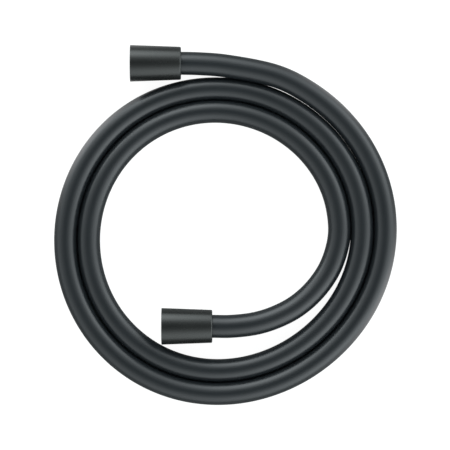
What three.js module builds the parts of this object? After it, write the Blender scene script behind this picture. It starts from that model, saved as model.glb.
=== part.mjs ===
// A shower hose: a smooth black plastic hose laid down in a flat spiral coil, with a conical
// union nut for a G 1/2 pipe thread turning freely on each end.
// Millimetres, +Z up. The hose and both nuts rest on the plane z = 0, and the origin is under
// the middle of the whole hose.
import * as THREE from "three";

// The hose itself: a hollow co-extruded pipe.
const hoseDiameter = 14.4;
const hoseWall = 2.5;
const hoseSides = 12;

// The coil. The turns lie side by side on the floor and grow by one hose width a turn.
// A coil laid by hand is not a true circle, so three slow waves of a few millimetres shape it.
const coilRadius = 75.8;
const turnGap = 0.3;
const turnPitch = hoseDiameter + turnGap;
const coilWaves = [
  { waves: 1, size: 4.1, peakAt: 163 },
  { waves: 2, size: 0.9, peakAt: 27 },
  { waves: 3, size: 0.5, peakAt: 4 },
];
const coilStartAngle = 12;
const coilEndAngle = 792;
const coilStepAngle = 12;

// The union nut, measured along its axis from its open mouth.
const nutLength = 32.4;
const nutMouthDiameter = 23.4;
const nutTailDiameter = 21;
const nutRimBevel = 0.5;
const nutTailRound = 0.9;
const threadMinorDiameter = 18.6;
const threadLeadIn = 0.9;

// Fits inside the nut. Pieces that touch or slide keep the same small clearance.
const clearance = 0.3;
const washerDepth = 10;
const washerThickness = 2;
const washerHole = 12;
const flangeThickness = 2;
const slipRingThickness = 0.8;
const ferruleWall = 0.5;
const ferruleLength = 16;
const ferruleMouthFlare = 0.35;
const crimpDepth = 0.12;
const crimpWidth = 2.4;
const crimpCount = 3;
const tailReach = 13.5;
const tailWall = 0.7;
const barbHeight = 0.5;
const barbCount = 3;
const nippleBevel = 0.4;

// Where the nuts lie beside the coil, seen from above with the coil's middle at zero.
const handsetNutTailX = -8.1;
const wallNutTailX = -28.1;
const nutToTurnGap = 0.5;

// How far the hose runs straight out of a nut before it bends or comes down to the floor.
const straightRun = 12;

const roundSteps = 48;
const smallRoundSteps = 36;
const edgeSteps = 4;

const hoseRadius = hoseDiameter / 2;
const boreRadius = hoseRadius - hoseWall;
const hoseCornerRadius = hoseRadius / Math.cos(Math.PI / hoseSides);
const mouthRadius = nutMouthDiameter / 2;
const tailRadius = nutTailDiameter / 2;
const nutTaper = (mouthRadius - tailRadius) / nutLength;
const rimRadius = mouthRadius - nutTaper * nutRimBevel;
const nutAxisHeight = rimRadius;

// Sizes of the inner pieces, each from the piece that it fits.
const flangeRadius = threadMinorDiameter / 2 - clearance;
const ferruleBore = hoseCornerRadius + clearance;
const ferruleRadius = ferruleBore + ferruleWall;
const passageRadius = ferruleRadius + clearance;
const barbRadius = boreRadius - clearance;
const neckRadius = barbRadius - barbHeight;
const waterwayRadius = neckRadius - tailWall;

// Places along the nut's axis, counted from the mouth.
const washerBack = washerDepth + washerThickness;
const flangeFront = washerBack + clearance;
const flangeBack = flangeFront + flangeThickness;
const slipRingFront = flangeBack + clearance;
const slipRingBack = slipRingFront + slipRingThickness;
const shoulderDepth = slipRingBack + clearance;
const ferruleFront = slipRingFront;
const hoseEndDepth = ferruleFront + ferruleWall + clearance;

const hosePlastic = new THREE.MeshStandardMaterial({ color: 0x23262a, roughness: 0.42, metalness: 0 });
const nutFinish = new THREE.MeshStandardMaterial({ color: 0x1f2021, roughness: 0.38, metalness: 0.25 });
const brass = new THREE.MeshStandardMaterial({ color: 0xb08d4b, roughness: 0.35, metalness: 1 });
const steel = new THREE.MeshStandardMaterial({ color: 0xb9bcc0, roughness: 0.3, metalness: 1 });
const sealRubber = new THREE.MeshStandardMaterial({ color: 0x17171a, roughness: 0.8, metalness: 0 });
const slipPlastic = new THREE.MeshStandardMaterial({ color: 0xe4e1d8, roughness: 0.5, metalness: 0 });

// The middle of the hose at an angle along the coil, in degrees from +X and counted on past 360.
function turnRadius(angle) {
  const grown = coilRadius + (turnPitch * angle) / 360;
  return coilWaves.reduce(
    (radius, { waves, size, peakAt }) =>
      radius + size * Math.cos(waves * THREE.MathUtils.degToRad(angle - peakAt)),
    grown,
  );
}

function onCoil(angle, radius, height) {
  const turned = THREE.MathUtils.degToRad(angle);
  return new THREE.Vector3(radius * Math.cos(turned), radius * Math.sin(turned), height);
}

// The handset's nut lies inside the coil: its mouth rim just clears the first turn below it.
function handsetNutY() {
  const mouthX = handsetNutTailX - nutLength;
  const besideAngle = 240;
  const insideOfTurn = turnRadius(besideAngle) - hoseRadius - nutToTurnGap;
  return mouthRadius - Math.sqrt(insideOfTurn ** 2 - mouthX ** 2);
}

// The wall's nut lies outside the coil: its tail end just clears the second turn below it.
function wallNutY() {
  const besideAngle = 465;
  const outsideOfTurn = turnRadius(besideAngle) + hoseRadius + nutToTurnGap;
  return tailRadius + Math.sqrt(outsideOfTurn ** 2 - wallNutTailX ** 2);
}

// The hose's way from inside the handset's nut, round the coil and into the wall's nut.
// The two ends follow points chosen by hand, and the turns between them follow the coil.
function hoseRoute() {
  const lift = nutAxisHeight - hoseRadius;
  const points = [];

  // Out of the handset's nut along +X, then down to the floor on a widening bend.
  const startY = handsetNutY();
  const startX = handsetNutTailX - nutLength + hoseEndDepth;
  points.push(new THREE.Vector3(startX, startY, nutAxisHeight));
  points.push(new THREE.Vector3(handsetNutTailX, startY, nutAxisHeight));
  points.push(new THREE.Vector3(handsetNutTailX + straightRun, startY, nutAxisHeight));
  const leadIn = [
    { angle: -70, radius: 58.5, liftShare: 0.93 },
    { angle: -56, radius: 60.8, liftShare: 0.75 },
    { angle: -43, radius: 63.7, liftShare: 0.5 },
    { angle: -29, radius: 66.9, liftShare: 0.25 },
    { angle: -15, radius: 70.15, liftShare: 0.07 },
    { angle: 0, radius: 72.9, liftShare: 0 },
  ];
  for (const { angle, radius, liftShare } of leadIn) {
    points.push(onCoil(angle, radius, hoseRadius + lift * liftShare));
  }

  // Round the coil, and up from the floor again over its last few steps.
  const riseShares = [0.04, 0.15, 0.33, 0.56, 0.8];
  const steps = (coilEndAngle - coilStartAngle) / coilStepAngle;
  for (let step = 0; step <= steps; step += 1) {
    const angle = coilStartAngle + step * coilStepAngle;
    const share = riseShares[step - (steps - riseShares.length + 1)] ?? 0;
    points.push(onCoil(angle, turnRadius(angle), hoseRadius + lift * share));
  }

  // Off the coil on an easy curve into the wall's nut.
  const endY = wallNutY();
  const leadOut = [
    { x: 0, below: 1.6, liftShare: 0.94 },
    { x: wallNutTailX + straightRun, below: 0.3, liftShare: 1 },
  ];
  for (const { x, below, liftShare } of leadOut) {
    points.push(new THREE.Vector3(x, endY - below, hoseRadius + lift * liftShare));
  }
  points.push(new THREE.Vector3(wallNutTailX, endY, nutAxisHeight));
  points.push(new THREE.Vector3(wallNutTailX - nutLength + hoseEndDepth, endY, nutAxisHeight));
  return points;
}

// The route's part between two places on it, counted in points from its start. Its
// cross-sections fall on the route's own points, so that neighbouring turns are cut at the
// same angles and stay parallel, and only its two ends may lie between points. Each section
// stands upright, so that a flat of the hose's many-sided outline lies level underneath.
class HoseStretch extends THREE.Curve {
  constructor(route, from, to) {
    super();
    this.route = route;
    this.from = from;
    this.to = to;
    this.sections = Math.ceil(to) - Math.floor(from);
  }

  shareOfRoute(t) {
    const place = Math.floor(this.from) + this.sections * t;
    return THREE.MathUtils.clamp(place, this.from, this.to) / (this.route.points.length - 1);
  }

  getPoint(t) {
    return this.route.getPoint(this.shareOfRoute(t));
  }

  getUtoTmapping(u) {
    return u;
  }

  computeFrenetFrames(steps) {
    const up = new THREE.Vector3(0, 0, 1);
    const frames = { tangents: [], normals: [], binormals: [] };
    for (let step = 0; step <= steps; step += 1) {
      const tangent = this.route.getTangent(this.shareOfRoute(step / steps));
      const binormal = new THREE.Vector3().crossVectors(up, tangent).normalize();
      frames.tangents.push(tangent);
      frames.binormals.push(binormal);
      frames.normals.push(new THREE.Vector3().crossVectors(binormal, tangent));
    }
    return frames;
  }
}

function ringOfPoints(radius, sides) {
  return Array.from({ length: sides }, (_, side) => {
    const angle = ((side + 0.5) * 2 * Math.PI) / sides;
    return new THREE.Vector2(radius * Math.cos(angle), radius * Math.sin(angle));
  });
}

function hoseGeometry(stretch) {
  const section = new THREE.Shape(ringOfPoints(hoseCornerRadius, hoseSides));
  const boreCorner = boreRadius / Math.cos(Math.PI / hoseSides);
  section.holes.push(new THREE.Path(ringOfPoints(boreCorner, hoseSides)));
  return new THREE.ExtrudeGeometry(section, {
    extrudePath: stretch,
    steps: stretch.sections,
    bevelEnabled: false,
  });
}

// The hose is one length. As solids it is three, end to end with the small clearance between
// them: the coil with its two leads, and the straight run out of each nut.
function hoseStretches() {
  const route = new THREE.CatmullRomCurve3(hoseRoute(), false, "centripetal");
  const runStepCount = 2;
  const end = route.points.length - 1;
  const wallRun = end - runStepCount;
  const clearanceAt = (place, next) =>
    clearance / route.points[place].distanceTo(route.points[next]);
  const coilFrom = runStepCount + clearanceAt(runStepCount, runStepCount + 1);
  const coilTo = wallRun - clearanceAt(wallRun, wallRun - 1);
  return {
    hose_handset_end: new HoseStretch(route, 0, runStepCount),
    hose_coil: new HoseStretch(route, coilFrom, coilTo),
    hose_wall_end: new HoseStretch(route, wallRun, end),
  };
}

// A turned piece. Its outline is radius and depth pairs that run up the outside and down
// the inside, and it closes on its first point.
function turned(outline, steps) {
  const points = outline.map(([radius, depth]) => new THREE.Vector2(radius, depth));
  points.push(points[0].clone());
  return new THREE.LatheGeometry(points, steps);
}

function nutGeometry() {
  const minorRadius = threadMinorDiameter / 2;
  const roundStart = nutLength - nutTailRound;
  const roundRadius = mouthRadius - nutTaper * roundStart;
  const tailCorner = Array.from({ length: edgeSteps + 1 }, (_, step) => {
    const turn = (step / edgeSteps) * (Math.PI / 2);
    return [
      roundRadius - nutTailRound * (1 - Math.cos(turn)),
      roundStart + nutTailRound * Math.sin(turn),
    ];
  });
  return turned(
    [
      [minorRadius + threadLeadIn, 0],
      [mouthRadius - nutRimBevel, 0],
      [rimRadius, nutRimBevel],
      ...tailCorner,
      [passageRadius, nutLength],
      [passageRadius, shoulderDepth],
      [minorRadius, shoulderDepth],
      [minorRadius, threadLeadIn],
    ],
    roundSteps,
  );
}

function washerGeometry() {
  return turned(
    [
      [washerHole / 2, washerDepth],
      [flangeRadius, washerDepth],
      [flangeRadius, washerBack],
      [washerHole / 2, washerBack],
    ],
    smallRoundSteps,
  );
}

// The slip ring sits between the nipple's flange and the nut's inner shoulder.
function slipRingGeometry() {
  return turned(
    [
      [passageRadius, slipRingFront],
      [flangeRadius, slipRingFront],
      [flangeRadius, slipRingBack],
      [passageRadius, slipRingBack],
    ],
    smallRoundSteps,
  );
}

// The nipple: a flange in front, and a hollow barbed tail that holds the hose's bore.
function nippleGeometry() {
  const tailStart = hoseEndDepth;
  const barbLength = (tailReach - nippleBevel) / barbCount;
  const barbs = [];
  for (let barb = 0; barb < barbCount; barb += 1) {
    const front = tailStart + barb * barbLength;
    barbs.push([neckRadius, front], [barbRadius, front + nippleBevel]);
    barbs.push([barbRadius, front + 2 * nippleBevel]);
  }
  const tip = tailStart + tailReach;
  return turned(
    [
      [waterwayRadius + nippleBevel, flangeFront],
      [flangeRadius - nippleBevel, flangeFront],
      [flangeRadius, flangeFront + nippleBevel],
      [flangeRadius, flangeBack],
      [neckRadius, flangeBack],
      ...barbs,
      [neckRadius, tip],
      [waterwayRadius, tip],
      [waterwayRadius, flangeFront + nippleBevel],
    ],
    smallRoundSteps,
  );
}

// The ferrule: a thin pressed sleeve with a lip over the hose's end and shallow crimp grooves.
function ferruleGeometry() {
  const back = ferruleFront + ferruleLength;
  const lipRadius = neckRadius + clearance;
  const spacing = (ferruleLength - crimpWidth) / (crimpCount + 1);
  const grooves = [];
  for (let crimp = 1; crimp <= crimpCount; crimp += 1) {
    const middle = ferruleFront + crimpWidth / 2 + crimp * spacing;
    grooves.push([ferruleRadius, middle - crimpWidth / 2], [ferruleRadius - crimpDepth, middle]);
    grooves.push([ferruleRadius, middle + crimpWidth / 2]);
  }
  return turned(
    [
      [lipRadius, ferruleFront],
      [ferruleRadius - ferruleMouthFlare, ferruleFront],
      [ferruleRadius, ferruleFront + ferruleMouthFlare],
      ...grooves,
      [ferruleRadius, back],
      [ferruleBore, back],
      [ferruleBore, ferruleFront + ferruleWall],
      [lipRadius, ferruleFront + ferruleWall],
    ],
    smallRoundSteps,
  );
}

function named(name, geometry, material) {
  const mesh = new THREE.Mesh(geometry, material);
  mesh.name = name;
  return mesh;
}

// One end's fittings, all turned about the nut's axis, with the mouth towards -X.
function hoseEnd(end, tailX, axisY) {
  const fittings = new THREE.Group();
  fittings.add(
    named(`${end}_union_nut`, nutGeometry(), nutFinish),
    named(`${end}_sealing_washer`, washerGeometry(), sealRubber),
    named(`${end}_slip_ring`, slipRingGeometry(), slipPlastic),
    named(`${end}_nipple`, nippleGeometry(), brass),
    named(`${end}_ferrule`, ferruleGeometry(), steel),
  );
  fittings.rotation.z = -Math.PI / 2;
  fittings.position.set(tailX - nutLength, axisY, nutAxisHeight);
  return fittings;
}

const showerHose = new THREE.Group();
for (const [name, stretch] of Object.entries(hoseStretches())) {
  showerHose.add(named(name, hoseGeometry(stretch), hosePlastic));
}
showerHose.add(
  hoseEnd("handset_end", handsetNutTailX, handsetNutY()),
  hoseEnd("wall_end", wallNutTailX, wallNutY()),
);

// Move the whole hose so that the origin is under its middle, on the floor.
const extent = new THREE.Box3().setFromObject(showerHose);
const middle = extent.getCenter(new THREE.Vector3());
showerHose.position.set(-middle.x, -middle.y, -extent.min.z);

export default showerHose;
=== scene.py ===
"""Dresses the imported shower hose.

It builds the smooth pipe on its route, the two union nuts with what they hold, and a studio.
"""

from __future__ import annotations

import logging
import math
from collections.abc import Sequence
from dataclasses import dataclass, field
from enum import Enum
from typing import Any

import bmesh
import bpy
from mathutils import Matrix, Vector


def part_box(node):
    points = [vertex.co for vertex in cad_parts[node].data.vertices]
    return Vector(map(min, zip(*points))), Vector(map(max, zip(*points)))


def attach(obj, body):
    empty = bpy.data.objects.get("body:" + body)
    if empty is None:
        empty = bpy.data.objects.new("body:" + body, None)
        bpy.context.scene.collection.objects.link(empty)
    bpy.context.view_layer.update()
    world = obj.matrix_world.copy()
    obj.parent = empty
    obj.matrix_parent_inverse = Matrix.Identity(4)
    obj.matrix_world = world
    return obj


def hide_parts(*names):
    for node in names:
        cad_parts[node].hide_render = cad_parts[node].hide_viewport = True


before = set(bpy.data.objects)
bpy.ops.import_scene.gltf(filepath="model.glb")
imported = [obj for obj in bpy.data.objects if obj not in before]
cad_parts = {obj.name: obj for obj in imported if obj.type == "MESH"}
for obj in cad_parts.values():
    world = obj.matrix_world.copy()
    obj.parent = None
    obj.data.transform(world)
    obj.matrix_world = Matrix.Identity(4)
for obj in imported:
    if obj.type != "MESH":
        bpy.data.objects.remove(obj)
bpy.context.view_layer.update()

log = logging.getLogger("shower_hose")

MM = 0.001
FULL_TURN = 2 * math.pi
WHITE = (1.0, 1.0, 1.0, 1.0)

# The named inputs of a Geometry Nodes tree that hold the middle of a nut's mouth.
MOUTH_INPUTS = ("Mouth X", "Axis Y", "Axis Z")

# The gap that pieces which touch or slide keep in the frame.
CLEARANCE = 0.3 * MM

# Two radii of a turned piece that are nearer than this belong to the same surface.
SAME_RADIUS = 0.05 * MM

# A corner's rounding never takes more than this share of a side beside it.
MOST_OF_A_SIDE = 0.49

# A point of a turned outline: its depth from the nut's mouth and its radius, in metres.
Outline = list[tuple[float, float]]


class End(Enum):
    """The hose's two ends, by the names that their nodes and bodies start with."""

    WALL = "wall_end"
    HANDSET = "handset_end"


class Axis(Enum):
    """A separate number of a vector, by its place in Separate XYZ and Combine XYZ."""

    X = 0
    Y = 1
    Z = 2


# Shader and Geometry Nodes trees


class Value:
    """A number on its way through a node tree, so that sums on it add Math nodes."""

    def __init__(self, tree: NodeTree, socket: Any) -> None:
        """Keeps the tree and the socket that gives the number."""
        self.tree = tree
        self.socket = socket

    def _math(self, operation: str, first: Any, second: Any = None) -> Value:
        """Adds one Math node.

        Args:
            operation: the Math node's operation.
            first: the first value or number.
            second: the second value or number, where the operation takes one.

        Returns:
            The node's result.
        """
        inputs = {0: first} if second is None else {0: first, 1: second}
        node = self.tree.add(self.tree.math_node, {"operation": operation}, inputs)
        return Value(self.tree, node.outputs[0])

    def __add__(self, other: Any) -> Value:
        """This and other together."""
        return self._math("ADD", self, other)

    __radd__ = __add__

    def __sub__(self, other: Any) -> Value:
        """This less other."""
        return self._math("SUBTRACT", self, other)

    def __rsub__(self, other: Any) -> Value:
        """Other less this."""
        return self._math("SUBTRACT", other, self)

    def __mul__(self, other: Any) -> Value:
        """This times other."""
        return self._math("MULTIPLY", self, other)

    __rmul__ = __mul__

    def __truediv__(self, other: Any) -> Value:
        """This over other."""
        return self._math("DIVIDE", self, other)

    def __gt__(self, other: Any) -> Value:
        """1 where this is over other, else 0."""
        return self._math("GREATER_THAN", self, other)

    def __lt__(self, other: Any) -> Value:
        """1 where this is under other, else 0."""
        return self._math("LESS_THAN", self, other)

    def at_most(self, other: Any) -> Value:
        """The smaller of this and other."""
        return self._math("MINIMUM", self, other)

    def at_least(self, other: Any) -> Value:
        """The larger of this and other."""
        return self._math("MAXIMUM", self, other)

    def clamped(self) -> Value:
        """This, kept between 0 and 1."""
        return self.at_least(0.0).at_most(1.0)

    def unsigned(self) -> Value:
        """This without its sign."""
        return self._math("ABSOLUTE", self)

    def fraction(self) -> Value:
        """What is left of this over a whole number."""
        return self._math("FRACT", self)

    def root(self) -> Value:
        """The square root of this."""
        return self._math("SQRT", self)

    def exponential(self) -> Value:
        """e to the power of this."""
        return self._math("EXPONENT", self)

    def bell(self) -> Value:
        """1 where this is 0, and smoothly less to both sides of it."""
        return (self * self * -1.0).exponential()

    def lobe(self, tightness: float) -> Value:
        """With this as the cosine of an angle, 1 straight ahead and less to all sides."""
        return ((self - 1.0) * tightness).exponential()

    def hypotenuse(self, other: Any) -> Value:
        """The distance across a right angle whose sides are this and other."""
        return (self * self + other * other).root()

    def arc_sine(self) -> Value:
        """The angle in radians that this is the sine of."""
        return self._math("ARCSINE", self)

    def angle_from(self, other: Any) -> Value:
        """The angle of a point with this as its height and other as its run."""
        return self._math("ARCTAN2", self, other)


@dataclass(frozen=True)
class Place:
    """A place in a nut: its depth from the mouth, its offsets from the axis and its radius."""

    depth: Value
    across: Value
    height: Value
    radius: Value


class NodeTree:
    """A node tree under construction: one method adds any node, and values come out as Value."""

    def __init__(self, tree: Any) -> None:
        """Clears the tree and keeps it.

        Args:
            tree: a shader or geometry node tree.
        """
        self.tree = tree
        self.math_node = "ShaderNodeMath"
        tree.nodes.clear()

    def add(self, kind: str, settings: dict[str, Any], inputs: dict[Any, Any]) -> Any:
        """Adds a node of any kind.

        Args:
            kind: the node's type.
            settings: its properties, which are set first.
            inputs: a value, socket or Value for each input, by name or number.

        Returns:
            The node.
        """
        node = self.tree.nodes.new(kind)
        for name, setting in settings.items():
            setattr(node, name, setting)
        for name, given in inputs.items():
            source = given.socket if isinstance(given, Value) else given
            if isinstance(source, bpy.types.NodeSocket):
                self.tree.links.new(source, node.inputs[name])
            else:
                node.inputs[name].default_value = source
        return node

    def value(
        self, kind: str, settings: dict[str, Any], inputs: dict[Any, Any], output: Any = 0
    ) -> Value:
        """Adds a node and gives one of its outputs as a Value."""
        return Value(self, self.add(kind, settings, inputs).outputs[output])

    def vector(self, operation: str, first: Any, second: Any) -> Any:
        """Adds a Vector Math node and gives its vector."""
        inputs = {0: first, 1: second}
        return self.add("ShaderNodeVectorMath", {"operation": operation}, inputs).outputs[0]

    def dot(self, first: Any, second: Any) -> Value:
        """How far one vector reaches along another of length 1."""
        settings = {"operation": "DOT_PRODUCT"}
        return self.value("ShaderNodeVectorMath", settings, {0: first, 1: second}, "Value")

    def part_of(self, vector: Any, axis: Axis) -> Value:
        """One number of a vector."""
        return self.value("ShaderNodeSeparateXYZ", {}, {0: vector}, axis.value)

    def join_xyz(self, x: Any, y: Any, z: Any) -> Any:
        """A vector of three numbers."""
        return self.add("ShaderNodeCombineXYZ", {}, {0: x, 1: y, 2: z}).outputs[0]

    def place_from(self, where: Any, mouth: Sequence[Any]) -> Place:
        """Measures a place from the middle of a nut's mouth.

        Args:
            where: the place, as a vector.
            mouth: the mouth's middle, as three numbers or values.

        Returns:
            The place in the nut.
        """
        depth, across, height = (self.part_of(where, axis) - mouth[axis.value] for axis in Axis)
        return Place(depth, across, height, across.hypotenuse(height))


@dataclass(frozen=True)
class Noise:
    """A kind of smooth noise: its features to a metre, and how many finer layers lie over them."""

    to_a_metre: float
    layers: float


class SurfaceTree(NodeTree):
    """The node tree of a material with one Principled shader."""

    def __init__(self, name: str) -> None:
        """Makes a new material with an empty tree.

        Args:
            name: the material's name.
        """
        self.material = bpy.data.materials.new(name)
        self.material.use_nodes = True
        super().__init__(self.material.node_tree)

    def where(self) -> Any:
        """The place on the piece, in metres."""
        return self.add("ShaderNodeTexCoord", {}, {}).outputs["Object"]

    def noise(self, where: Any, kind: Noise) -> Value:
        """Smooth noise from 0 to 1."""
        inputs = {"Vector": where, "Scale": kind.to_a_metre, "Detail": kind.layers}
        return self.value("ShaderNodeTexNoise", {}, inputs, "Fac")

    @staticmethod
    def about(middle: float, *changes: tuple[Value, float]) -> Any:
        """A number that noise moves about its middle.

        Args:
            middle: the number where every noise is halfway.
            changes: each noise, and the range that it moves the number over.

        Returns:
            The number at each place.
        """
        total: Any = middle - sum(spread for _, spread in changes) / 2
        for noise, spread in changes:
            total = noise * spread + total
        return total

    def shade(self, factor: Value, low: Any, high: Any) -> Any:
        """Mixes two colours.

        Args:
            factor: 0 for the low colour and 1 for the high one.
            low: a plain colour or a colour's socket.
            high: the other colour, of either kind.

        Returns:
            The socket of the mixed colour.
        """
        ends = [end if isinstance(end, bpy.types.NodeSocket) else (*end, 1) for end in (low, high)]
        inputs = {0: factor, 6: ends[0], 7: ends[1]}
        return self.add("ShaderNodeMix", {"data_type": "RGBA"}, inputs).outputs[2]

    def bump(self, height: Value, depth: float) -> Any:
        """A normal from a height that runs from 0 to 1 over that depth in metres."""
        return self.add("ShaderNodeBump", {}, {"Height": height, "Distance": depth}).outputs[0]

    def finish(self, inputs: dict[str, Any]) -> bpy.types.Material:
        """Adds the Principled shader and the output.

        Args:
            inputs: the shader's inputs.

        Returns:
            The finished material.
        """
        shader = self.add("ShaderNodeBsdfPrincipled", {}, inputs)
        self.add("ShaderNodeOutputMaterial", {}, {"Surface": shader.outputs[0]})
        return self.material


class ShapeTree(NodeTree):
    """A Geometry Nodes tree with named sizes, run on one object and then made plain mesh."""

    def __init__(self, name: str, sizes: dict[str, Any]) -> None:
        """Makes the tree with one input for each size.

        Args:
            name: the tree's name.
            sizes: the value of each named input: a number, an object or a material.
        """
        group = bpy.data.node_groups.new(name, "GeometryNodeTree")
        super().__init__(group)
        self.sizes = sizes
        group.interface.new_socket("Geometry", in_out="INPUT", socket_type="NodeSocketGeometry")
        for label, size in sizes.items():
            group.interface.new_socket(label, in_out="INPUT", socket_type=self._socket_for(size))
        group.interface.new_socket("Geometry", in_out="OUTPUT", socket_type="NodeSocketGeometry")
        self.given = self.add("NodeGroupInput", {}, {})

    @staticmethod
    def _socket_for(size: Any) -> str:
        """Chooses the kind of socket that holds a size.

        Args:
            size: a number, an object or a material.

        Returns:
            The socket's type.
        """
        if isinstance(size, bpy.types.Object):
            return "NodeSocketObject"
        if isinstance(size, bpy.types.Material):
            return "NodeSocketMaterial"
        return "NodeSocketInt" if isinstance(size, int) else "NodeSocketFloat"

    def size(self, label: str) -> Value:
        """The named input as a value."""
        return Value(self, self.given.outputs[label])

    def place(self) -> Place:
        """Each point's place in the nut whose mouth the named inputs give."""
        position = self.add("GeometryNodeInputPosition", {}, {}).outputs[0]
        return self.place_from(position, [self.size(label) for label in MOUTH_INPUTS])

    def keep(self, kind: str, name: str, value: Any, geometry: Any) -> Any:
        """Keeps a value at each point, before the points go on.

        Args:
            kind: the kind of value.
            name: the name of the output that gives it.
            value: the value's socket.
            geometry: the geometry whose points they are.

        Returns:
            The node with the geometry and the kept value as its outputs.
        """
        node = self.add("GeometryNodeCaptureAttribute", {"domain": "POINT"}, {"Geometry": geometry})
        node.capture_items.new(kind, name)
        self.tree.links.new(value, node.inputs[name])
        return node

    def push_out(self, place: Place, amount: Value) -> ShapeTree:
        """Moves each point away from the nut's axis, and ends the tree.

        Args:
            place: the point's place in the nut.
            amount: how far it moves.

        Returns:
            The finished tree.
        """
        share = amount / place.radius
        offset = self.join_xyz(0.0, place.across * share, place.height * share)
        inputs = {"Geometry": self.given.outputs["Geometry"], "Offset": offset}
        self.close(self.add("GeometryNodeSetPosition", {}, inputs).outputs[0])
        return self

    def close(self, geometry: Any) -> None:
        """Ends the tree in Realize Instances and Set Material.

        Args:
            geometry: what the tree has made.
        """
        real = self.add("GeometryNodeRealizeInstances", {}, {0: geometry}).outputs[0]
        inputs = {"Geometry": real, "Material": self.size("Finish")}
        dressed = self.add("GeometryNodeSetMaterial", {}, inputs)
        self.add("NodeGroupOutput", {}, {0: dressed.outputs[0]})

    def run_on(self, piece: bpy.types.Object) -> bpy.types.Object:
        """Runs the tree on a piece and leaves its result as the piece's plain mesh.

        Args:
            piece: an object in the scene.

        Returns:
            The same piece as a mesh object.
        """
        modifier = piece.modifiers.new(self.tree.name, "NODES")
        modifier.node_group = self.tree
        for item in self.tree.interface.items_tree:
            if item.item_type == "SOCKET" and item.in_out == "INPUT" and item.name in self.sizes:
                modifier[item.identifier] = self.sizes[item.name]
        depsgraph = bpy.context.evaluated_depsgraph_get()
        made = bpy.data.meshes.new_from_object(piece.evaluated_get(depsgraph), depsgraph=depsgraph)
        made.name = piece.name
        piece.modifiers.clear()
        if piece.type == "MESH":
            piece.data = made
            return piece
        name = piece.name
        bpy.data.objects.remove(piece)
        return add_piece(name, made)


# Mesh helpers


def add_piece(name: str, mesh: bpy.types.Mesh) -> bpy.types.Object:
    """Puts a mesh into the scene.

    Args:
        name: the piece's name.
        mesh: its mesh, which takes the name too.

    Returns:
        The piece, as an object at the origin.
    """
    mesh.name = name
    piece = bpy.data.objects.new(name, mesh)
    bpy.context.scene.collection.objects.link(piece)
    return piece


def smooth_shade(mesh: bpy.types.Mesh, sharp_from: float = 50.0) -> None:
    """Shades a mesh smooth, with its sharper edges left sharp.

    Args:
        mesh: the mesh.
        sharp_from: the angle between two faces, in degrees, from which their edge is sharp.
    """
    limit = math.radians(sharp_from)
    mesh.polygons.foreach_set("use_smooth", [True] * len(mesh.polygons))
    made = bmesh.new()
    made.from_mesh(mesh)
    for edge in made.edges:
        edge.smooth = edge.calc_face_angle(0.0) < limit
    made.to_mesh(mesh)
    made.free()


def rounded(outline: Sequence[tuple[float, float, float]], steps: int = 5) -> Outline:
    """Rounds the corners of a closed outline.

    Args:
        outline: depth, radius and rounding of each corner, in metres.
        steps: faces in each rounding.

    Returns:
        The depth and radius of each point.
    """
    points: Outline = []
    count = len(outline)
    for index, (depth, radius, rounding) in enumerate(outline):
        corner = Vector((depth, radius))
        if rounding <= 0:
            points.append((depth, radius))
            continue
        before = Vector(outline[index - 1][:2]) - corner
        after = Vector(outline[(index + 1) % count][:2]) - corner
        most = min(before.length, after.length) * MOST_OF_A_SIDE
        back = min(rounding / math.tan(before.angle(after) / 2), most)
        start = corner + before.normalized() * back
        finish = corner + after.normalized() * back
        for step in range(steps + 1):
            t = step / steps
            spot = start * (1 - t) ** 2 + corner * 2 * t * (1 - t) + finish * t ** 2
            points.append((spot.x, spot.y))
    return points


@dataclass(frozen=True)
class NutAxis:
    """The line that an end's fittings turn on, with depths counted from the nut's mouth."""

    mouth_x: float
    y: float
    z: float

    @property
    def mouth(self) -> tuple[float, float, float]:
        """The middle of the nut's mouth."""
        return self.mouth_x, self.y, self.z

    def turn(self, name: str, outline: Outline, steps: int = 96) -> bpy.types.Object:
        """Turns a closed outline about the axis.

        Args:
            name: the piece's name.
            outline: depth and radius of each point, going towards the tail on the outside.
            steps: faces round the axis.

        Returns:
            The turned piece, closed and facing out.
        """
        made = bmesh.new()
        rings = []
        for step in range(steps):
            angle = FULL_TURN * step / steps
            across, height = math.cos(angle), math.sin(angle)
            spots = [(self.mouth_x + d, self.y + r * across, self.z + r * height) for d, r in outline]
            rings.append([made.verts.new(spot) for spot in spots])
        for step in range(steps):
            ring, following = rings[step], rings[(step + 1) % steps]
            for index in range(len(outline)):
                beyond = (index + 1) % len(outline)
                made.faces.new((ring[index], following[index], following[beyond], ring[beyond]))
        bmesh.ops.recalc_face_normals(made, faces=made.faces)
        mesh = bpy.data.meshes.new(name)
        made.to_mesh(mesh)
        made.free()
        return add_piece(name, mesh)

    def sizes(self) -> dict[str, float]:
        """The axis as the named inputs of a ShapeTree."""
        return dict(zip(MOUTH_INPUTS, self.mouth))


# Finishes


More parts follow.
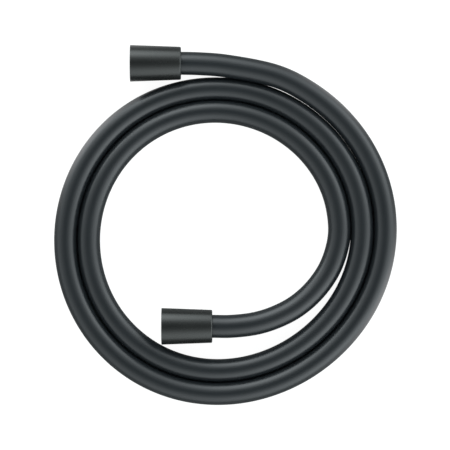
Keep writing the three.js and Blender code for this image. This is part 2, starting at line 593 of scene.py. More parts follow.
@dataclass(frozen=True)
class HosePlastic:
    """Satin black PVC, with a bluish cast and the faint lines that drawing it leaves along it."""

    dark: tuple[float, float, float] = (0.0072, 0.0092, 0.0108)
    light: tuple[float, float, float] = (0.0088, 0.0110, 0.0130)
    shine: tuple[float, float, float] = (0.985, 0.971, 1.0)
    ior: float = 1.5
    roughness: float = 0.32
    lines: Noise = Noise(900.0, 3.0)
    # The noise is read at this share of the way along the hose, so that its spots become lines.
    line_share: float = 0.015
    line_depth: float = 0.02 * MM
    line_roughness: float = 0.04
    grain: Noise = Noise(1500.0, 2.0)
    grain_depth: float = 0.012 * MM
    patches: Noise = Noise(40.0, 3.0)
    patch_roughness: float = 0.05

    def material(self) -> bpy.types.Material:
        """Builds the material on the straightened coordinates of the hose's skin.

        Returns:
            The material.
        """
        tree = SurfaceTree("hose_plastic")
        skin = tree.add("ShaderNodeAttribute", {"attribute_name": "skin"}, {}).outputs["Vector"]
        drawn = tree.vector("MULTIPLY", skin, (1.0, 1.0, self.line_share))
        lines = tree.noise(drawn, self.lines)
        patches = tree.noise(skin, self.patches)
        height = lines * (self.line_depth / self.grain_depth) + tree.noise(skin, self.grain)
        changes = ((lines, self.line_roughness), (patches, self.patch_roughness))
        return tree.finish(
            {
                "Base Color": tree.shade(patches, self.dark, self.light),
                "Roughness": tree.about(self.roughness, *changes),
                "IOR": self.ior,
                "Specular Tint": (*self.shine, 1),
                "Normal": tree.bump(height, self.grain_depth),
            }
        )


@dataclass(frozen=True)
class NutCoating:
    """Satin black coating on a turned nut, neutral in colour, with a paler colour painted on its round
    edges: partly rubbing, partly a painted highlight.
    """

    dark: tuple[float, float, float] = (0.0070, 0.0077, 0.0077)
    light: tuple[float, float, float] = (0.0090, 0.0095, 0.0093)
    # The paler colour of the round edges is partly rubbing and partly a painted highlight of the light
    # that they catch.
    wear_and_highlight_colour: tuple[float, float, float] = (0.038, 0.041, 0.041)
    ior: float = 1.5
    roughness: float = 0.27
    grain: Noise = Noise(2600.0, 2.0)
    grain_depth: float = 0.010 * MM
    patches: Noise = Noise(120.0, 3.0)
    patch_roughness: float = 0.05
    wear_and_highlight_width: float = 0.45 * MM
    # The mouth's edge gets this share of the painted highlight and rubbing that the narrow end's edge
    # gets.
    mouth_wear_and_highlight: float = 0.4

    def _wear_and_highlight(self, place: Place, depth: float, radius: float) -> Value:
        """How much painted highlight and rubbing a place gets: fully on the round edge of that depth
        and radius, and less off it.
        """
        distance = (place.depth - depth).hypotenuse(place.radius - radius)
        return (distance / self.wear_and_highlight_width).bell()

    def material(self, seat: NutSeat, tail_radius: float) -> bpy.types.Material:
        """Builds the material of one end's nut: fine spray grain, soft patches and two edges painted
        paler, partly as rubbing and partly as a painted highlight.

        Args:
            seat: where the nut lies.
            tail_radius: the radius of its narrow end.

        Returns:
            The material.
        """
        tree = SurfaceTree(f"nut_black_{seat.end.value}")
        where = tree.where()
        patches = tree.noise(where, self.patches)
        place = tree.place_from(where, seat.axis.mouth)
        # Both round edges are painted paler: partly rubbing, partly a painted highlight.
        mouth = self._wear_and_highlight(place, 0.0, seat.mouth_radius) * self.mouth_wear_and_highlight
        wear_and_highlight = self._wear_and_highlight(place, seat.length, tail_radius) + mouth
        return tree.finish(
            {
                "Base Color": tree.shade(wear_and_highlight, tree.shade(patches, self.dark, self.light), self.wear_and_highlight_colour),
                "Roughness": tree.about(self.roughness, (patches, self.patch_roughness)),
                "IOR": self.ior,
                "Normal": tree.bump(tree.noise(where, self.grain), self.grain_depth),
            }
        )


@dataclass(frozen=True)
class SealRubber:
    """Matt black rubber with a moulded grain."""

    dark: tuple[float, float, float] = (0.012, 0.012, 0.013)
    light: tuple[float, float, float] = (0.022, 0.022, 0.023)
    roughness: float = 0.75
    grain: Noise = Noise(3000.0, 3.0)
    grain_depth: float = 0.03 * MM
    dust: Noise = Noise(500.0, 4.0)
    dust_roughness: float = 0.15

    def material(self) -> bpy.types.Material:
        """Builds the material.

        Returns:
            The material.
        """
        tree = SurfaceTree("seal_rubber")
        where = tree.where()
        dust = tree.noise(where, self.dust)
        return tree.finish(
            {
                "Base Color": tree.shade(dust, self.dark, self.light),
                "Roughness": tree.about(self.roughness, (dust, self.dust_roughness)),
                "Normal": tree.bump(tree.noise(where, self.grain), self.grain_depth),
            }
        )


@dataclass(frozen=True)
class SlipPlastic:
    """Waxy white plastic of the ring that the nut turns on."""

    dark: tuple[float, float, float] = (0.62, 0.60, 0.54)
    light: tuple[float, float, float] = (0.74, 0.73, 0.68)
    ior: float = 1.49
    roughness: float = 0.45
    clouds: Noise = Noise(300.0, 3.0)
    cloud_roughness: float = 0.1

    def material(self) -> bpy.types.Material:
        """Builds the material.

        Returns:
            The material.
        """
        tree = SurfaceTree("slip_plastic")
        clouds = tree.noise(tree.where(), self.clouds)
        return tree.finish(
            {
                "Base Color": tree.shade(clouds, self.dark, self.light),
                "Roughness": tree.about(self.roughness, (clouds, self.cloud_roughness)),
                "IOR": self.ior,
            }
        )


@dataclass(frozen=True)
class TurnedBrass:
    """Bare brass with the rings that a turning tool leaves on its faces and its length."""

    dark: tuple[float, float, float] = (0.52, 0.36, 0.14)
    light: tuple[float, float, float] = (0.66, 0.48, 0.21)
    roughness: float = 0.29
    rings: Noise = Noise(9000.0, 1.0)
    ring_depth: float = 0.008 * MM
    ring_roughness: float = 0.06
    tarnish: Noise = Noise(260.0, 4.0)
    tarnish_roughness: float = 0.16

    def material(self, axis: NutAxis, name: str) -> bpy.types.Material:
        """Builds the material round one end's axis.

        Args:
            axis: the axis that the piece was turned on.
            name: the material's name.

        Returns:
            The material.
        """
        tree = SurfaceTree(name)
        where = tree.where()
        place = tree.place_from(where, axis.mouth)
        rings = tree.noise(tree.join_xyz(place.radius + place.depth, 0.0, 0.0), self.rings)
        tarnish = tree.noise(where, self.tarnish)
        changes = ((rings, self.ring_roughness), (tarnish, self.tarnish_roughness))
        return tree.finish(
            {
                "Base Color": tree.shade(tarnish, self.dark, self.light),
                "Roughness": tree.about(self.roughness, *changes),
                "Metallic": 1.0,
                "Normal": tree.bump(rings, self.ring_depth),
            }
        )


@dataclass(frozen=True)
class PressedSteel:
    """Bright pressed steel with fine scratches along the draw."""

    dark: tuple[float, float, float] = (0.46, 0.47, 0.48)
    light: tuple[float, float, float] = (0.60, 0.61, 0.62)
    roughness: float = 0.26
    scratches: Noise = Noise(2400.0, 3.0)
    # The noise is read at this share of the way along the draw, so that its spots become lines.
    scratch_share: float = 0.05
    scratch_depth: float = 0.006 * MM
    scratch_roughness: float = 0.12

    def material(self) -> bpy.types.Material:
        """Builds the material.

        Returns:
            The material.
        """
        tree = SurfaceTree("ferrule_steel")
        drawn = tree.vector("MULTIPLY", tree.where(), (self.scratch_share, 1.0, 1.0))
        scratches = tree.noise(drawn, self.scratches)
        return tree.finish(
            {
                "Base Color": tree.shade(scratches, self.dark, self.light),
                "Roughness": tree.about(self.roughness, (scratches, self.scratch_roughness)),
                "Metallic": 1.0,
                "Normal": tree.bump(scratches, self.scratch_depth),
            }
        )


# The hose


@dataclass(frozen=True)
class HoseRoute:
    """The hose's way from inside the handset's nut, round its flat coil and into the wall's nut.

    The two ends follow listed points, and the turns between them are worked out.
    Lengths are in metres and angles in degrees, with the coil's middle at zero.
    """

    hose_radius: float
    middle_x: float = -0.24 * MM
    middle_y: float = -7.70 * MM
    turn_pitch: float = 14.7 * MM
    coil_radius: float = 75.8 * MM
    # Waves to a turn, size of the wave and the angle of its first peak.
    coil_waves: tuple[tuple[int, float, float], ...] = (
        (1, 4.1 * MM, 163.0),
        (2, 0.9 * MM, 27.0),
        (3, 0.5 * MM, 4.0),
    )
    coil_start: float = 12.0
    coil_end: float = 792.0
    coil_step: float = 12.0
    straight_run: float = 12 * MM
    # Angle, radius and share of the lift that is left.
    lead_in: tuple[tuple[float, float, float], ...] = (
        (-70.0, 58.5 * MM, 0.93),
        (-56.0, 60.8 * MM, 0.75),
        (-43.0, 63.7 * MM, 0.5),
        (-29.0, 66.9 * MM, 0.25),
        (-15.0, 70.15 * MM, 0.07),
        (0.0, 72.9 * MM, 0.0),
    )
    rise_shares: tuple[float, ...] = (0.04, 0.15, 0.33, 0.56, 0.8)
    # How far the last point on the coil's top lies below the nut's axis, and its share of the lift.
    lead_out_below: float = 1.6 * MM
    lead_out_share: float = 0.94
    straight_below: float = 0.3 * MM
    # The outer turn gives way a little beside the wall's nut, so that the nut can slide past it.
    give: float = 0.35 * MM
    give_angle: float = 463.0
    give_width: float = 22.0

    @property
    def middle(self) -> Vector:
        """The coil's middle on the floor."""
        return Vector((self.middle_x, self.middle_y, 0.0))

    def turn_radius(self, angle: float) -> float:
        """How far the middle of the hose is from the coil's middle.

        Args:
            angle: the angle in degrees, counted on past a full turn.

        Returns:
            The distance in metres.
        """
        spiral = self.coil_radius + self.turn_pitch * math.radians(angle) / FULL_TURN
        waves = (size * math.cos(n * math.radians(angle - peak)) for n, size, peak in self.coil_waves)
        room = self.give * math.exp(-(((angle - self.give_angle) / self.give_width) ** 2))
        return spiral + sum(waves) - room

    def on_coil(self, angle: float, radius: float, lift: float) -> Vector:
        """A point on the middle of the hose, by its way from the coil's middle.

        Args:
            angle: its angle in degrees.
            radius: its distance from the coil's middle.
            lift: how far the hose is lifted off the floor there.

        Returns:
            The point.
        """
        turned = math.radians(angle)
        across, along = radius * math.cos(turned), radius * math.sin(turned)
        return self.middle + Vector((across, along, self.hose_radius + lift))

    def points(self, handset: NutSeat, wall: NutSeat) -> list[Vector]:
        """The route's points.

        Args:
            handset: where the handset's nut lies.
            wall: where the wall's nut lies.

        Returns:
            The points from the hose's handset end to its wall end.
        """
        axis_height = handset.axis.z
        lift = axis_height - self.hose_radius
        straight = (handset.hose_end_x, handset.tail_x, handset.tail_x + self.straight_run)
        route = [Vector((x, handset.axis.y, axis_height)) for x in straight]
        route.extend(self.on_coil(angle, radius, lift * share) for angle, radius, share in self.lead_in)
        steps = round((self.coil_end - self.coil_start) / self.coil_step)
        for step in range(steps + 1):
            angle = self.coil_start + step * self.coil_step
            rise = step - (steps - len(self.rise_shares) + 1)
            share = self.rise_shares[rise] if rise >= 0 else 0.0
            route.append(self.on_coil(angle, self.turn_radius(angle), lift * share))
        top = self.hose_radius + lift * self.lead_out_share
        route.append(Vector((self.middle_x, wall.axis.y - self.lead_out_below, top)))
        straight_start = wall.tail_x + self.straight_run
        route.append(Vector((straight_start, wall.axis.y - self.straight_below, axis_height)))
        route.extend(Vector((x, wall.axis.y, axis_height)) for x in (wall.tail_x, wall.hose_end_x))
        return route


def smooth_route(points: Sequence[Vector], steps: int) -> list[Vector]:
    """Runs one smooth curve through the points.

    Args:
        points: the points that it passes.
        steps: stretches between each two of them.

    Returns:
        The curve's points. Its pace goes by the root of each stretch, so it makes no loops.
    """
    ends = [points[0] * 2 - points[1], *points, points[-1] * 2 - points[-2]]
    curve = []
    for a, b, c, d in zip(ends, ends[1:], ends[2:], ends[3:]):
        ta, tb = 0.0, math.sqrt((b - a).length)
        tc = tb + math.sqrt((c - b).length)
        td = tc + math.sqrt((d - c).length)
        for step in range(steps):
            t = tb + (tc - tb) * step / steps
            ab = a.lerp(b, (t - ta) / (tb - ta))
            bc = b.lerp(c, (t - tb) / (tc - tb))
            cd = c.lerp(d, (t - tc) / (td - tc))
            abc = ab.lerp(bc, (t - ta) / (tc - ta))
            bcd = bc.lerp(cd, (t - tb) / (td - tb))
            curve.append(abc.lerp(bcd, (t - tb) / (tc - tb)))
    curve.append(points[-1].copy())
    return curve


@dataclass(frozen=True)
class NutSeat:
    """Where one end's nut lies, read from the frame."""

    end: End
    axis: NutAxis
    length: float
    mouth_radius: float
    passage_radius: float
    hose_end_x: float

    @property
    def tail_x(self) -> float:
        """The nut's narrow end."""
        return self.axis.mouth_x + self.length

    def named(self, piece: str) -> str:
        """The name that a piece has at this end."""
        return f"{self.end.value}_{piece}"


def read_seat(end: End, hose_end_depth: float) -> NutSeat:
    """Reads an end's place from the boxes of its nut and of the ferrule that passes through it.

    Args:
        end: which end.
        hose_end_depth: how deep in the nut the hose starts.

    Returns:
        The seat.
    """
    low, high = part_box(f"{end.value}_union_nut")
    sleeve_low, sleeve_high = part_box(f"{end.value}_ferrule")
    return NutSeat(
        end=end,
        axis=NutAxis(low[0], (low[1] + high[1]) / 2, (low[2] + high[2]) / 2),
        length=high[0] - low[0],
        mouth_radius=(high[1] - low[1]) / 2,
        passage_radius=(sleeve_high[1] - sleeve_low[1]) / 2 + CLEARANCE,
        hose_end_x=low[0] + hose_end_depth,
    )


@dataclass
class Hose:
    """The pipe itself: one hollow co-extruded length, swept along its route."""

    diameter: float = 14.7 * MM
    wall: float = 2.6 * MM
    # The whole hose with both nuts, and how deep in each nut the pipe starts.
    overall_length: float = 1.5
    end_depth: float = 15.4 * MM
    sides: int = 40
    curve_steps: int = 9
    finish: HosePlastic = field(default_factory=HosePlastic)

    @property
    def length(self) -> float:
        """The pipe alone, from inside one nut to inside the other."""
        return self.overall_length - 2 * self.end_depth

    def _line(self, route: Sequence[Vector]) -> bpy.types.Object:
        """Makes the route a curve object, for the sweep to follow.

        Args:
            route: the route's points.

        Returns:
            The curve object.
        """
        curve = bpy.data.curves.new("hose", "CURVE")
        curve.dimensions = "3D"
        spline = curve.splines.new("POLY")
        spline.points.add(len(route) - 1)
        for point, spot in zip(spline.points, route):
            point.co = (*spot, 1.0)
        line = bpy.data.objects.new("hose", curve)
        bpy.context.scene.collection.objects.link(line)
        return line

    def _sweep(self) -> ShapeTree:
        """Builds the tree that sweeps the outer skin and the bore.

        Returns:
            The tree. It stores the straightened skin for the finish: two offsets and the run along it.
        """
        tree = ShapeTree(
            "sweep_hose",
            {
                "Outer radius": self.diameter / 2,
                "Bore radius": self.diameter / 2 - self.wall,
                "Sides": self.sides,
                "Finish": self.finish.material(),
            },
        )
        given = {"Curve": tree.given.outputs["Geometry"]}
        upright = tree.add("GeometryNodeSetCurveNormal", {"mode": "Z_UP"}, given).outputs[0]
        run = tree.add("GeometryNodeSplineParameter", {}, {}).outputs["Length"]
        route = tree.keep("FLOAT", "Run", run, upright)
        joined = tree.add("GeometryNodeJoinGeometry", {}, {})
        for radius in ("Outer radius", "Bore radius"):
            circle = tree.add(
                "GeometryNodeCurvePrimitiveCircle",
                {"mode": "RADIUS"},
                {"Resolution": tree.size("Sides"), "Radius": tree.size(radius)},
            ).outputs[0]
            spot = tree.add("GeometryNodeInputPosition", {}, {}).outputs[0]
            profile = tree.keep("VECTOR", "Spot", spot, circle)
            swept = tree.add(
                "GeometryNodeCurveToMesh",
                {},
                {"Curve": route.outputs["Geometry"], "Profile Curve": profile.outputs["Geometry"]},
            ).outputs[0]
            across, height = (tree.part_of(profile.outputs["Spot"], axis) for axis in (Axis.X, Axis.Y))
            skin = tree.join_xyz(across, height, route.outputs["Run"])
            named = tree.add(
                "GeometryNodeStoreNamedAttribute",
                {"data_type": "FLOAT_VECTOR", "domain": "POINT"},
                {"Geometry": swept, "Name": "skin", "Value": skin},
            ).outputs[0]
            tree.tree.links.new(named, joined.inputs[0])
        tree.close(joined.outputs[0])
        return tree

    def _close_ends(self, mesh: bpy.types.Mesh, ends: Sequence[Vector]) -> None:
        """Joins the skin to the bore with a flat ring at each end.

        Args:
            mesh: the swept skin and bore.
            ends: the first and last points of the line that they follow.
        """
        made = bmesh.new()
        made.from_mesh(mesh)
        rims = [edge for edge in made.edges if edge.is_boundary]
        for end in ends:
            near = [edge for edge in rims if (edge.verts[0].co - end).length < self.diameter]
            bmesh.ops.bridge_loops(made, edges=near)
        bmesh.ops.recalc_face_normals(made, faces=made.faces)
        made.to_mesh(mesh)
        made.free()

    def build(
        self, route: HoseRoute, handset: NutSeat, wall: NutSeat
    ) -> tuple[bpy.types.Object, list[Vector]]:
        """Sweeps the hose.

        Args:
            route: the rule of its coil and its leads.
            handset: where the handset's nut lies.
            wall: where the wall's nut lies.

        Returns:
            The hose, and the line along its middle from the wall's end.
        """
        line = smooth_route(route.points(handset, wall), self.curve_steps)
        hose = self._sweep().run_on(self._line(line))
        self._close_ends(hose.data, (line[0], line[-1]))
        smooth_shade(hose.data)
        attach(hose, "hose")
        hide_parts("hose_handset_end", "hose_coil", "hose_wall_end")
        return hose, line[::-1]


# The fittings of one end


@dataclass
class UnionNut:
    """The conical nut: a smooth taper outside, and a G 1/2 thread inside."""

    tail_radius: float = 10.5 * MM
    shoulder_depth: float = 15.7 * MM
    thread_minor: float = 9.3 * MM
    thread_pitch: float = 1.814 * MM
    thread_height: float = 1.162 * MM
    # The height of a sharp thread of 55 degrees before its crest and root are rounded, in pitches.
    sharp_height: float = 0.9605
    # The share of a pitch over which the thread starts and ends.
    thread_fade: float = 0.5
    thread_start: float = 1.4 * MM
    thread_end: float = 13.2 * MM
    rows_to_a_pitch: int = 12
    lead_in: float = 0.9 * MM
    rim_round: float = 0.35 * MM
    tail_round: float = 0.9 * MM
    inner_round: float = 0.3 * MM
    shoulder_round: float = 0.1 * MM
    corner_faces: int = 6
    sides: int = 120
    sharp_from: float = 42.0
    finish: NutCoating = field(default_factory=NutCoating)

    def _outline(self, seat: NutSeat) -> Outline:
        """Draws the nut's section, with plain rows where the thread will be cut.

        Args:
            seat: where the nut lies.

        Returns:
            The closed outline.
        """
        taper = (seat.mouth_radius - self.tail_radius) / seat.length
        mouth = seat.mouth_radius + taper * self.rim_round
        outline = rounded(
            [
                (0.0, self.thread_minor + self.lead_in, self.inner_round),
                (0.0, mouth, self.rim_round),
                (seat.length, self.tail_radius, self.tail_round),
                (seat.length, seat.passage_radius, self.inner_round),
                (self.shoulder_depth, seat.passage_radius, self.shoulder_round),
                (self.shoulder_depth, self.thread_minor, self.shoulder_round),
            ],
            self.corner_faces,
        )
        row = self.thread_pitch / self.rows_to_a_pitch
        rows = range(1, int((self.shoulder_depth - self.lead_in) / row))
        outline += [(self.shoulder_depth - row * index, self.thread_minor) for index in rows]
        outline.append((self.lead_in, self.thread_minor))
        return outline

    def _cutter(self, seat: NutSeat, finish: bpy.types.Material) -> ShapeTree:
        """Builds the tree that cuts the helical thread into the bore.

        Args:
            seat: where the nut lies.
            finish: the nut's material.

        Returns:
            The tree.
        """
        tree = ShapeTree(
            "cut_thread",
            {
                **seat.axis.sizes(),
                "Pitch": self.thread_pitch,
                "Thread height": self.thread_height,
                "Sharp height": self.sharp_height,
                "Thread start": self.thread_start,
                "Thread end": self.thread_end,
                "Bore radius": self.thread_minor,
                "Finish": finish,
            },
        )
        place = tree.place()
        turn = place.height.angle_from(place.across) / FULL_TURN
        phase = (place.depth / tree.size("Pitch") - turn).fraction()
        flank = 1.0 - (phase * 2.0 - 1.0).unsigned()
        sharp = tree.size("Sharp height") * tree.size("Pitch")
        cut = (flank * sharp - (sharp - tree.size("Thread height")) / 2).at_least(0.0)
        cut = cut.at_most(tree.size("Thread height"))
        fade = tree.size("Pitch") * self.thread_fade
        begins = ((place.depth - tree.size("Thread start")) / fade).clamped()
        ends = ((tree.size("Thread end") - place.depth) / fade).clamped()
        in_bore = place.radius < tree.size("Bore radius") + SAME_RADIUS
        return tree.push_out(place, cut * begins * ends * in_bore)

    def build(self, seat: NutSeat) -> bpy.types.Object:
        """Turns the nut and cuts its thread.

        Args:
            seat: where the nut lies.

        Returns:
            The nut.
        """
        nut = seat.axis.turn(seat.named("union_nut_dressed"), self._outline(seat), self.sides)
        nut = self._cutter(seat, self.finish.material(seat, self.tail_radius)).run_on(nut)
        smooth_shade(nut.data, self.sharp_from)
        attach(nut, seat.named("nut"))
        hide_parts(seat.named("union_nut"))
        return nut


@dataclass
class InnerFittings:
    """What one nut holds: the sealing washer, the slip ring, the nipple and the ferrule."""

    washer_hole: float = 6 * MM
    washer_round: float = 0.25 * MM
    ring_round: float = 0.12 * MM
    tail_radius: float = 3.9 * MM
    barb_height: float = 0.5 * MM
    barb_count: int = 3
    barb_rows: int = 24
    # The share of a barb's length that its steep side takes.
    barb_steep: float = 0.125
    barb_sharp_from: float = 35.0
    waterway_radius: float = 3.2 * MM
    waterway_round: float = 0.4 * MM
    flange_thickness: float = 2 * MM
    flange_front_round: float = 0.3 * MM
    flange_back_round: float = 0.15 * MM
    tail_root_round: float = 0.1 * MM
    ferrule_wall: float = 0.5 * MM
    ferrule_bend: float = 0.45 * MM
    ferrule_rim_round: float = 0.2 * MM
    lip_round: float = 0.15 * MM
    crimp_count: int = 3
    crimp_depth: float = 0.12 * MM
    crimp_width: float = 1.0 * MM
    crimp_rows: int = 64

    def build(self, seat: NutSeat) -> list[bpy.types.Object]:
        """Builds the four pieces of one end."""
        return [self._washer(seat), self._ring(seat), self._nipple(seat), self._ferrule(seat)]

    @staticmethod
    def _span(seat: NutSeat, piece: str) -> tuple[float, float, float]:
        """Where a CAD piece starts and ends along the axis, and its radius."""
        low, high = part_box(seat.named(piece))
        return low[0] - seat.axis.mouth_x, high[0] - seat.axis.mouth_x, (high[2] - low[2]) / 2

    @staticmethod
    def _place(made: bpy.types.Object, node: str, body: str, slot: str) -> bpy.types.Object:
        """Puts a finished piece on its body and hides the CAD node that it stands for.

        Args:
            made: the piece.
            node: the CAD node that it stands for.
            body: the body that it rides on.
            slot: its material's slot; not used.

        Returns:
            The piece.
        """
        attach(made, body)
        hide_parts(node)
        return made

    def _flat_ring(
        self, seat: NutSeat, piece: str, hole: float, rounding: float, finish: bpy.types.Material
    ) -> bpy.types.Object:
        """Turns a flat ring that fills a CAD ring's span.

        Args:
            seat: where the nut lies.
            piece: the ring's name at its end.
            hole: the radius of its hole.
            rounding: the rounding of its four edges.
            finish: its material.

        Returns:
            The ring.
        """
        front, back, radius = self._span(seat, piece)
        corners = [(front, hole), (front, radius), (back, radius), (back, hole)]
        outline = rounded([(*corner, rounding) for corner in corners])
        ring = seat.axis.turn(seat.named(f"{piece}_dressed"), outline)
        ring.data.materials.append(finish)
        smooth_shade(ring.data)
        return ring

    def _washer(self, seat: NutSeat) -> bpy.types.Object:
        """Makes the flat rubber washer that seals on the flange.

        Args:
            seat: where the nut lies.

        Returns:
            The washer.
        """
        piece, finish = "sealing_washer", SealRubber().material()
        washer = self._flat_ring(seat, piece, self.washer_hole, self.washer_round, finish)
        return self._place(washer, seat.named(piece), "hose", "seal_rubber")

    def _ring(self, seat: NutSeat) -> bpy.types.Object:
        """Makes the thin white ring that the nut's shoulder turns on.

        Args:
            seat: where the nut lies.

        Returns:
            The slip ring.
        """
        piece, finish = "slip_ring", SlipPlastic().material()
        ring = self._flat_ring(seat, piece, seat.passage_radius, self.ring_round, finish)
        return self._place(ring, seat.named(piece), seat.named("ring"), "slip_plastic")

    def _nipple(self, seat: NutSeat) -> bpy.types.Object:
        """Makes the brass nipple: its flange, and a hollow tail on which the barbs are raised.

        Args:
            seat: where the nut lies.

        Returns:
            The nipple.
        """
        front, back, radius = self._span(seat, "nipple")
        flange_back = front + self.flange_thickness
        tail_start = seat.hose_end_x - seat.axis.mouth_x
        row = (back - tail_start) / self.barb_rows
        tail = [(tail_start + row * index, self.tail_radius) for index in range(1, self.barb_rows)]
        outline = rounded(
            [
                (front, self.waterway_radius, self.waterway_round),
                (front, radius, self.flange_front_round),
                (flange_back, radius, self.flange_back_round),
                (flange_back, self.tail_radius, self.tail_root_round),
            ]
        )
        outline += [*tail, (back, self.tail_radius), (back, self.waterway_radius)]
        nipple = seat.axis.turn(seat.named("nipple_dressed"), outline)
        nipple = self._barbs(seat, tail_start, back).run_on(nipple)
        smooth_shade(nipple.data, self.barb_sharp_from)
        return self._place(nipple, seat.named("nipple"), "hose", "nipple_brass")

    def _barbs(self, seat: NutSeat, start: float, end: float) -> ShapeTree:
        """Builds the tree that raises the barbs, each steep on its side towards the flange.

        Args:
            seat: where the nut lies.
            start: the depth at which the tail enters the hose.
            end: the depth of the tail's end.

        Returns:
            The tree.
        """
        tree = ShapeTree(
            "raise_barbs",
            {
                **seat.axis.sizes(),
                "Barb height": self.barb_height,
                "Barb pitch": (end - start) / self.barb_count,
                "Barbs start": start,
                "Barbs end": end,
                "Tail radius": self.tail_radius,
                "Finish": TurnedBrass().material(seat.axis, f"nipple_brass_{seat.end.value}"),
            },
        )
        place = tree.place()
        phase = ((place.depth - tree.size("Barbs start")) / tree.size("Barb pitch")).fraction()
        slope = (phase / self.barb_steep).at_most((1.0 - phase) / (1.0 - self.barb_steep))
        on_tail = (place.radius - tree.size("Tail radius")).unsigned() < SAME_RADIUS
        inside = (place.depth > tree.size("Barbs start")) * (place.depth < tree.size("Barbs end"))
        return tree.push_out(place, slope * tree.size("Barb height") * on_tail * inside)

    def _ferrule(self, seat: NutSeat) -> bpy.types.Object:
        """Makes the steel sleeve with its front lip, pressed in at its crimps.

        Args:
            seat: where the nut lies.

        Returns:
            The ferrule.
        """
        front, back, radius = self._span(seat, "ferrule")
        wall = self.ferrule_wall
        bore = radius - wall
        lip = self.tail_radius + CLEARANCE
        row = (back - front - 2 * wall) / self.crimp_rows
        steps = range(1, self.crimp_rows + 1)
        sleeve = [(front + wall + row * step, radius, 0.0) for step in steps]
        outline = rounded(
            [
                (front, lip, self.lip_round),
                (front, radius, self.ferrule_bend),
                *sleeve,
                (back, radius, self.ferrule_rim_round),
                (back, bore, self.ferrule_rim_round),
                (front + wall, bore, self.ferrule_rim_round),
                (front + wall, lip, self.lip_round),
            ]
        )
        ferrule = seat.axis.turn(seat.named("ferrule_dressed"), outline)
        ferrule = self._crimps(seat, front, back, radius).run_on(ferrule)
        smooth_shade(ferrule.data)
        return self._place(ferrule, seat.named("ferrule"), "hose", "ferrule_steel")

    def _crimps(self, seat: NutSeat, front: float, back: float, radius: float) -> ShapeTree:
        """Builds the tree that presses evenly spaced crimps into the outside of the sleeve.

        Args:
            seat: where the nut lies.
            front: the depth of the sleeve's front.
            back: the depth of the sleeve's back.
            radius: its outside radius.

        Returns:
            The tree.
        """
        pitch = (back - front) / (self.crimp_count + 1)
        tree = ShapeTree(
            "press_crimps",
            {
                **seat.axis.sizes(),
                "Crimp depth": self.crimp_depth,
                "Crimp pitch": pitch,
                "Crimp width": self.crimp_width,
                "First crimp": front + pitch / 2,
                "Last crimp": back - pitch / 2,
                "Sleeve radius": radius,
                "Finish": PressedSteel().material(),
            },
        )
        place = tree.place()
        phase = ((place.depth - tree.size("First crimp")) / tree.size("Crimp pitch")).fraction()
        offset = (phase - 0.5) * tree.size("Crimp pitch")
        hollow = (offset / (tree.size("Crimp width") / 2)).bell() * tree.size("Crimp depth")
        outside = place.radius > tree.size("Sleeve radius") - SAME_RADIUS
        inside = (place.depth > tree.size("First crimp")) * (place.depth < tree.size("Last crimp"))
        return tree.push_out(place, hollow * outside * inside * -1.0)


# The studio


@dataclass(frozen=True)
class SoftLight:
    """One broad soft light in the sky, by the angle it comes from and its height in degrees."""

    towards: float
    height: float
    strength: float
    tightness: float

    def direction(self) -> Vector:
        """Works out where the light comes from.

        Returns:
            The way to its middle, of length 1.
        """
        turned, raised = math.radians(self.towards), math.radians(self.height)
        flat = math.cos(raised)
        return Vector((flat * math.cos(turned), flat * math.sin(turned), math.sin(raised)))


@dataclass(frozen=True)
class FloorGlow:
    """A side of the floor that mirrored rays see brighter, by its angle from the coil's middle."""

    towards: float
    share: float
    tightness: float

    def direction(self) -> Vector:
        """The way from the coil's middle to the brighter side."""
        turned = math.radians(self.towards)
        return Vector((math.cos(turned), math.sin(turned), 0.0))


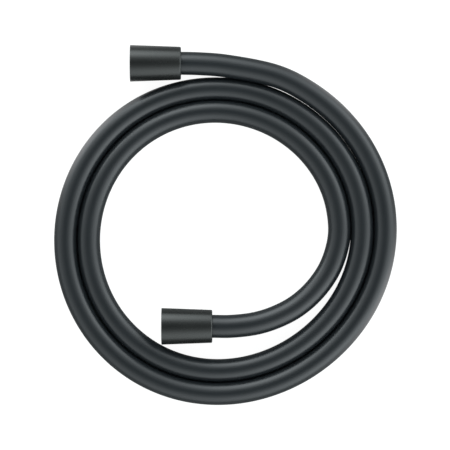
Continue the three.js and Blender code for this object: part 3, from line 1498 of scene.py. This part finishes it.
@dataclass
class Studio:
    """The pale floor, the soft light all round and the camera straight above.

    The floor's paint takes the shadow. Only the camera and mirrors see its glow. The camera sees a
    share of plain white, to which the lit paint adds the rest. Mirrors see a small share, and more
    beyond the coil on some sides, where the photographed hose mirrors a floor brighter than white.
    That is why the glow's full strength is over 1.
    """

    floor_size: float = 8.0
    floor_colour: tuple[float, float, float] = (0.2, 0.2, 0.2)
    white_share: float = 0.93
    floor_brightness: float = 3.6
    glossy_share: float = 0.06
    floor_glows: tuple[FloorGlow, ...] = (
        FloorGlow(142.0, 3.4, 16.0),
        FloorGlow(338.0, 2.8, 14.0),
        FloorGlow(52.0, 1.6, 30.0),
    )
    glow_inner: float = 100 * MM
    glow_fade: float = 40 * MM
    photo_width: float = 450
    metres_to_a_pixel: float = 0.6388 * MM
    lens: float = 250.0
    sensor: float = 36.0
    # How far the camera sees, counted in its distances from the coil.
    sight: float = 4.0
    coil_middle_pixel: tuple[float, float] = (225.0, 237.0)
    light_colour: tuple[float, float, float] = (0.915, 1.0, 1.0)
    ring_height: float = 16.0
    ring_spread: float = 43.0
    ring_strength: float = 1.3
    soft_lights: tuple[SoftLight, ...] = (
        SoftLight(316.0, 29.0, 2.3, 9.0),
        SoftLight(32.0, 22.0, 2.6, 13.0),
        SoftLight(106.0, 28.0, 4.0, 15.0),
        SoftLight(268.0, 34.0, 0.5, 9.0),
        SoftLight(142.0, 5.0, 4.2, 36.0),
        SoftLight(338.0, 3.0, 2.8, 40.0),
    )

    def _floor(self, middle: Vector) -> None:
        """Lays a wide flat floor that shows white and still takes a faint shadow.

        Args:
            middle: the coil's middle on the floor.
        """
        half = self.floor_size / 2
        mesh = bpy.data.meshes.new("floor")
        corners = [(-half, -half, 0), (half, -half, 0), (half, half, 0), (-half, half, 0)]
        mesh.from_pydata(corners, [], [(0, 1, 2, 3)])
        floor = add_piece("floor", mesh)
        tree = SurfaceTree("floor_white")
        ray = tree.add("ShaderNodeLightPath", {}, {})
        seen = Value(tree, ray.outputs["Is Camera Ray"]) * self.white_share
        mirrored = Value(tree, ray.outputs["Is Glossy Ray"]) + ray.outputs["Is Transmission Ray"]
        share = (seen + mirrored * self._mirrored_share(tree, middle)) / self.floor_brightness
        paint = tree.add("ShaderNodeBsdfDiffuse", {}, {"Color": (*self.floor_colour, 1)}).outputs[0]
        inputs = {"Color": WHITE, "Strength": self.floor_brightness}
        glow = tree.add("ShaderNodeEmission", {}, inputs).outputs[0]
        shown = tree.add("ShaderNodeMixShader", {}, {0: share, 2: glow}).outputs[0]
        both = tree.add("ShaderNodeAddShader", {}, {0: paint, 1: shown}).outputs[0]
        tree.add("ShaderNodeOutputMaterial", {}, {"Surface": both})
        mesh.materials.append(tree.material)

    def _mirrored_share(self, tree: SurfaceTree, middle: Vector) -> Value:
        """How much of plain white the floor shows in a mirror: more beyond the coil, on some sides.

        Args:
            tree: the floor's material.
            middle: the coil's middle on the floor.

        Returns:
            The share at each place.
        """
        out = tree.vector("SUBTRACT", tree.where(), middle)
        distance = tree.dot(out, out).root()
        beyond = ((distance - self.glow_inner) / self.glow_fade).clamped()
        total: Any = 0.0
        for glow in self.floor_glows:
            facing = tree.dot(out, glow.direction()) / distance
            total = facing.lobe(glow.tightness) * glow.share + total
        return beyond * total + self.glossy_share

    def _light(self) -> None:
        """Lights from low down all round, with a few broad lights, and white where it is seen."""
        world = bpy.data.worlds.new("studio")
        bpy.context.scene.world = world
        world.use_nodes = True
        tree = NodeTree(world.node_tree)
        direction = tree.add("ShaderNodeTexCoord", {}, {}).outputs["Generated"]
        elevation = tree.part_of(direction, Axis.Z).arc_sine() * math.degrees(1)
        strength = ((elevation - self.ring_height) / self.ring_spread).bell() * self.ring_strength
        for light in self.soft_lights:
            facing = tree.dot(direction, light.direction())
            strength = strength + facing.lobe(light.tightness) * light.strength
        seen = tree.add("ShaderNodeLightPath", {}, {}).outputs["Is Camera Ray"]
        inputs = {"Color": (*self.light_colour, 1), "Strength": strength}
        lamps = tree.add("ShaderNodeBackground", {}, inputs).outputs[0]
        plain = tree.add("ShaderNodeBackground", {}, {"Color": WHITE, "Strength": 1.0}).outputs[0]
        shown = tree.add("ShaderNodeMixShader", {}, {0: seen, 1: lamps, 2: plain})
        tree.add("ShaderNodeOutputWorld", {}, {"Surface": shown.outputs[0]})

    def _camera(self, middle: Vector, height: float) -> None:
        """Places a long lens straight above, framed as the photograph is.

        Args:
            middle: the coil's middle on the floor.
            height: the level at which the photograph's scale holds.
        """
        data = bpy.data.cameras.new("camera")
        data.sensor_width = self.sensor
        data.lens = self.lens
        camera = bpy.data.objects.new("camera", data)
        bpy.context.scene.collection.objects.link(camera)
        distance = self.photo_width * self.metres_to_a_pixel * self.lens / self.sensor
        centre = self.photo_width / 2
        off_x = (centre - self.coil_middle_pixel[0]) * self.metres_to_a_pixel
        off_y = (self.coil_middle_pixel[1] - centre) * self.metres_to_a_pixel
        camera.location = (middle.x + off_x, middle.y + off_y, height + distance)
        data.clip_end = distance * self.sight
        bpy.context.scene.camera = camera

    def build(self, middle: Vector, height: float) -> None:
        """Builds the floor, the light and the camera.

        Args:
            middle: the coil's middle on the floor.
            height: the level at which the photograph's scale holds.
        """
        self._floor(middle)
        self._light()
        self._camera(middle, height)
        bpy.context.scene.view_settings.view_transform = "Standard"


def main() -> None:
    """Builds the studio, the fittings and the hose in order."""
    logging.basicConfig(level=logging.INFO)
    maker = Hose()
    route = HoseRoute(maker.diameter / 2)
    Studio().build(route.middle, route.hose_radius)
    seats = {end: read_seat(end, maker.end_depth) for end in End}
    fittings: dict[End, list[bpy.types.Object]] = {}
    for end, seat in seats.items():
        fittings[end] = [UnionNut().build(seat), *InnerFittings().build(seat)]
        for piece in fittings[end]:
            log.info("%s: %d faces", piece.name, len(piece.data.polygons))
    hose, line = maker.build(route, seats[End.HANDSET], seats[End.WALL])
    swept = sum((after - before).length for before, after in zip(line, line[1:]))
    log.info("%s: %d faces, %.4f m along its middle", hose.name, len(hose.data.polygons), swept)


if __name__ == "__main__":
    main()
